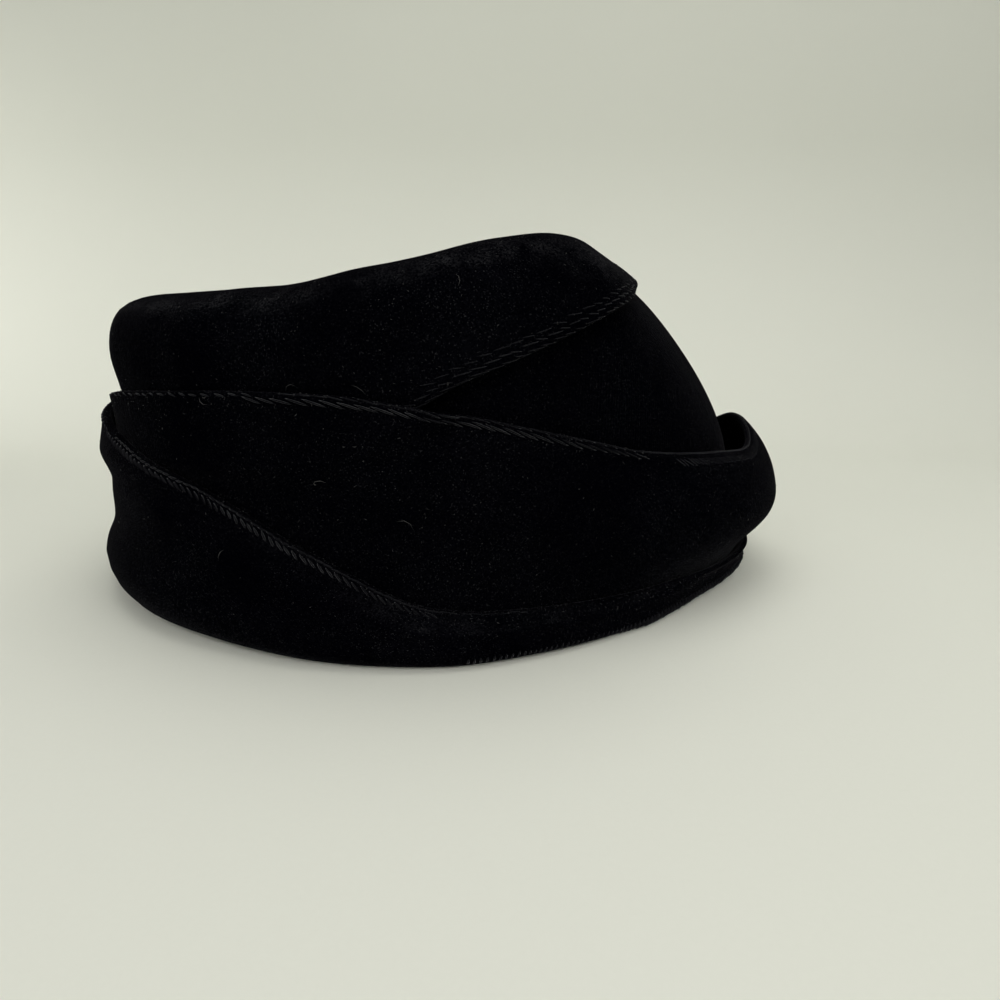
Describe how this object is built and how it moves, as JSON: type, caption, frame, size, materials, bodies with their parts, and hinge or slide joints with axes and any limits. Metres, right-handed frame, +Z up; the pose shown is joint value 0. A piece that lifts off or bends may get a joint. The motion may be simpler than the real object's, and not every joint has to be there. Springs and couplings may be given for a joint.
{
  "type": "draped velvet pillbox hat",
  "caption": "Soft oval pillbox hat with a sloping low end and wrapped velvet folds, open underneath for the head.",
  "frame": {"origin": "middle of the bounding box, on the plane that the rim stands on", "axes": "+Z up; +X along the hat's length towards its low end; +Y across it"},
  "size_m": [0.229, 0.196, 0.1046],
  "materials": {
    "crown_velvet": "black cotton velvet, matt, with a soft grey sheen at grazing angles",
    "drape_velvet": "black cotton velvet, matt, with a soft grey sheen at grazing angles",
    "fold_velvet": "black cotton velvet, matt, its pile parting in fine rows along the folded edge",
    "hem_velvet": "black cotton velvet, matt, its pile parting in fine rows along the folded edge"
  },
  "bodies": {
    "root": {"crown": "crown_velvet", "upper_drape": "drape_velvet", "middle_fold": "fold_velvet", "lower_fold": "hem_velvet"}
  },
  "joints": []
}
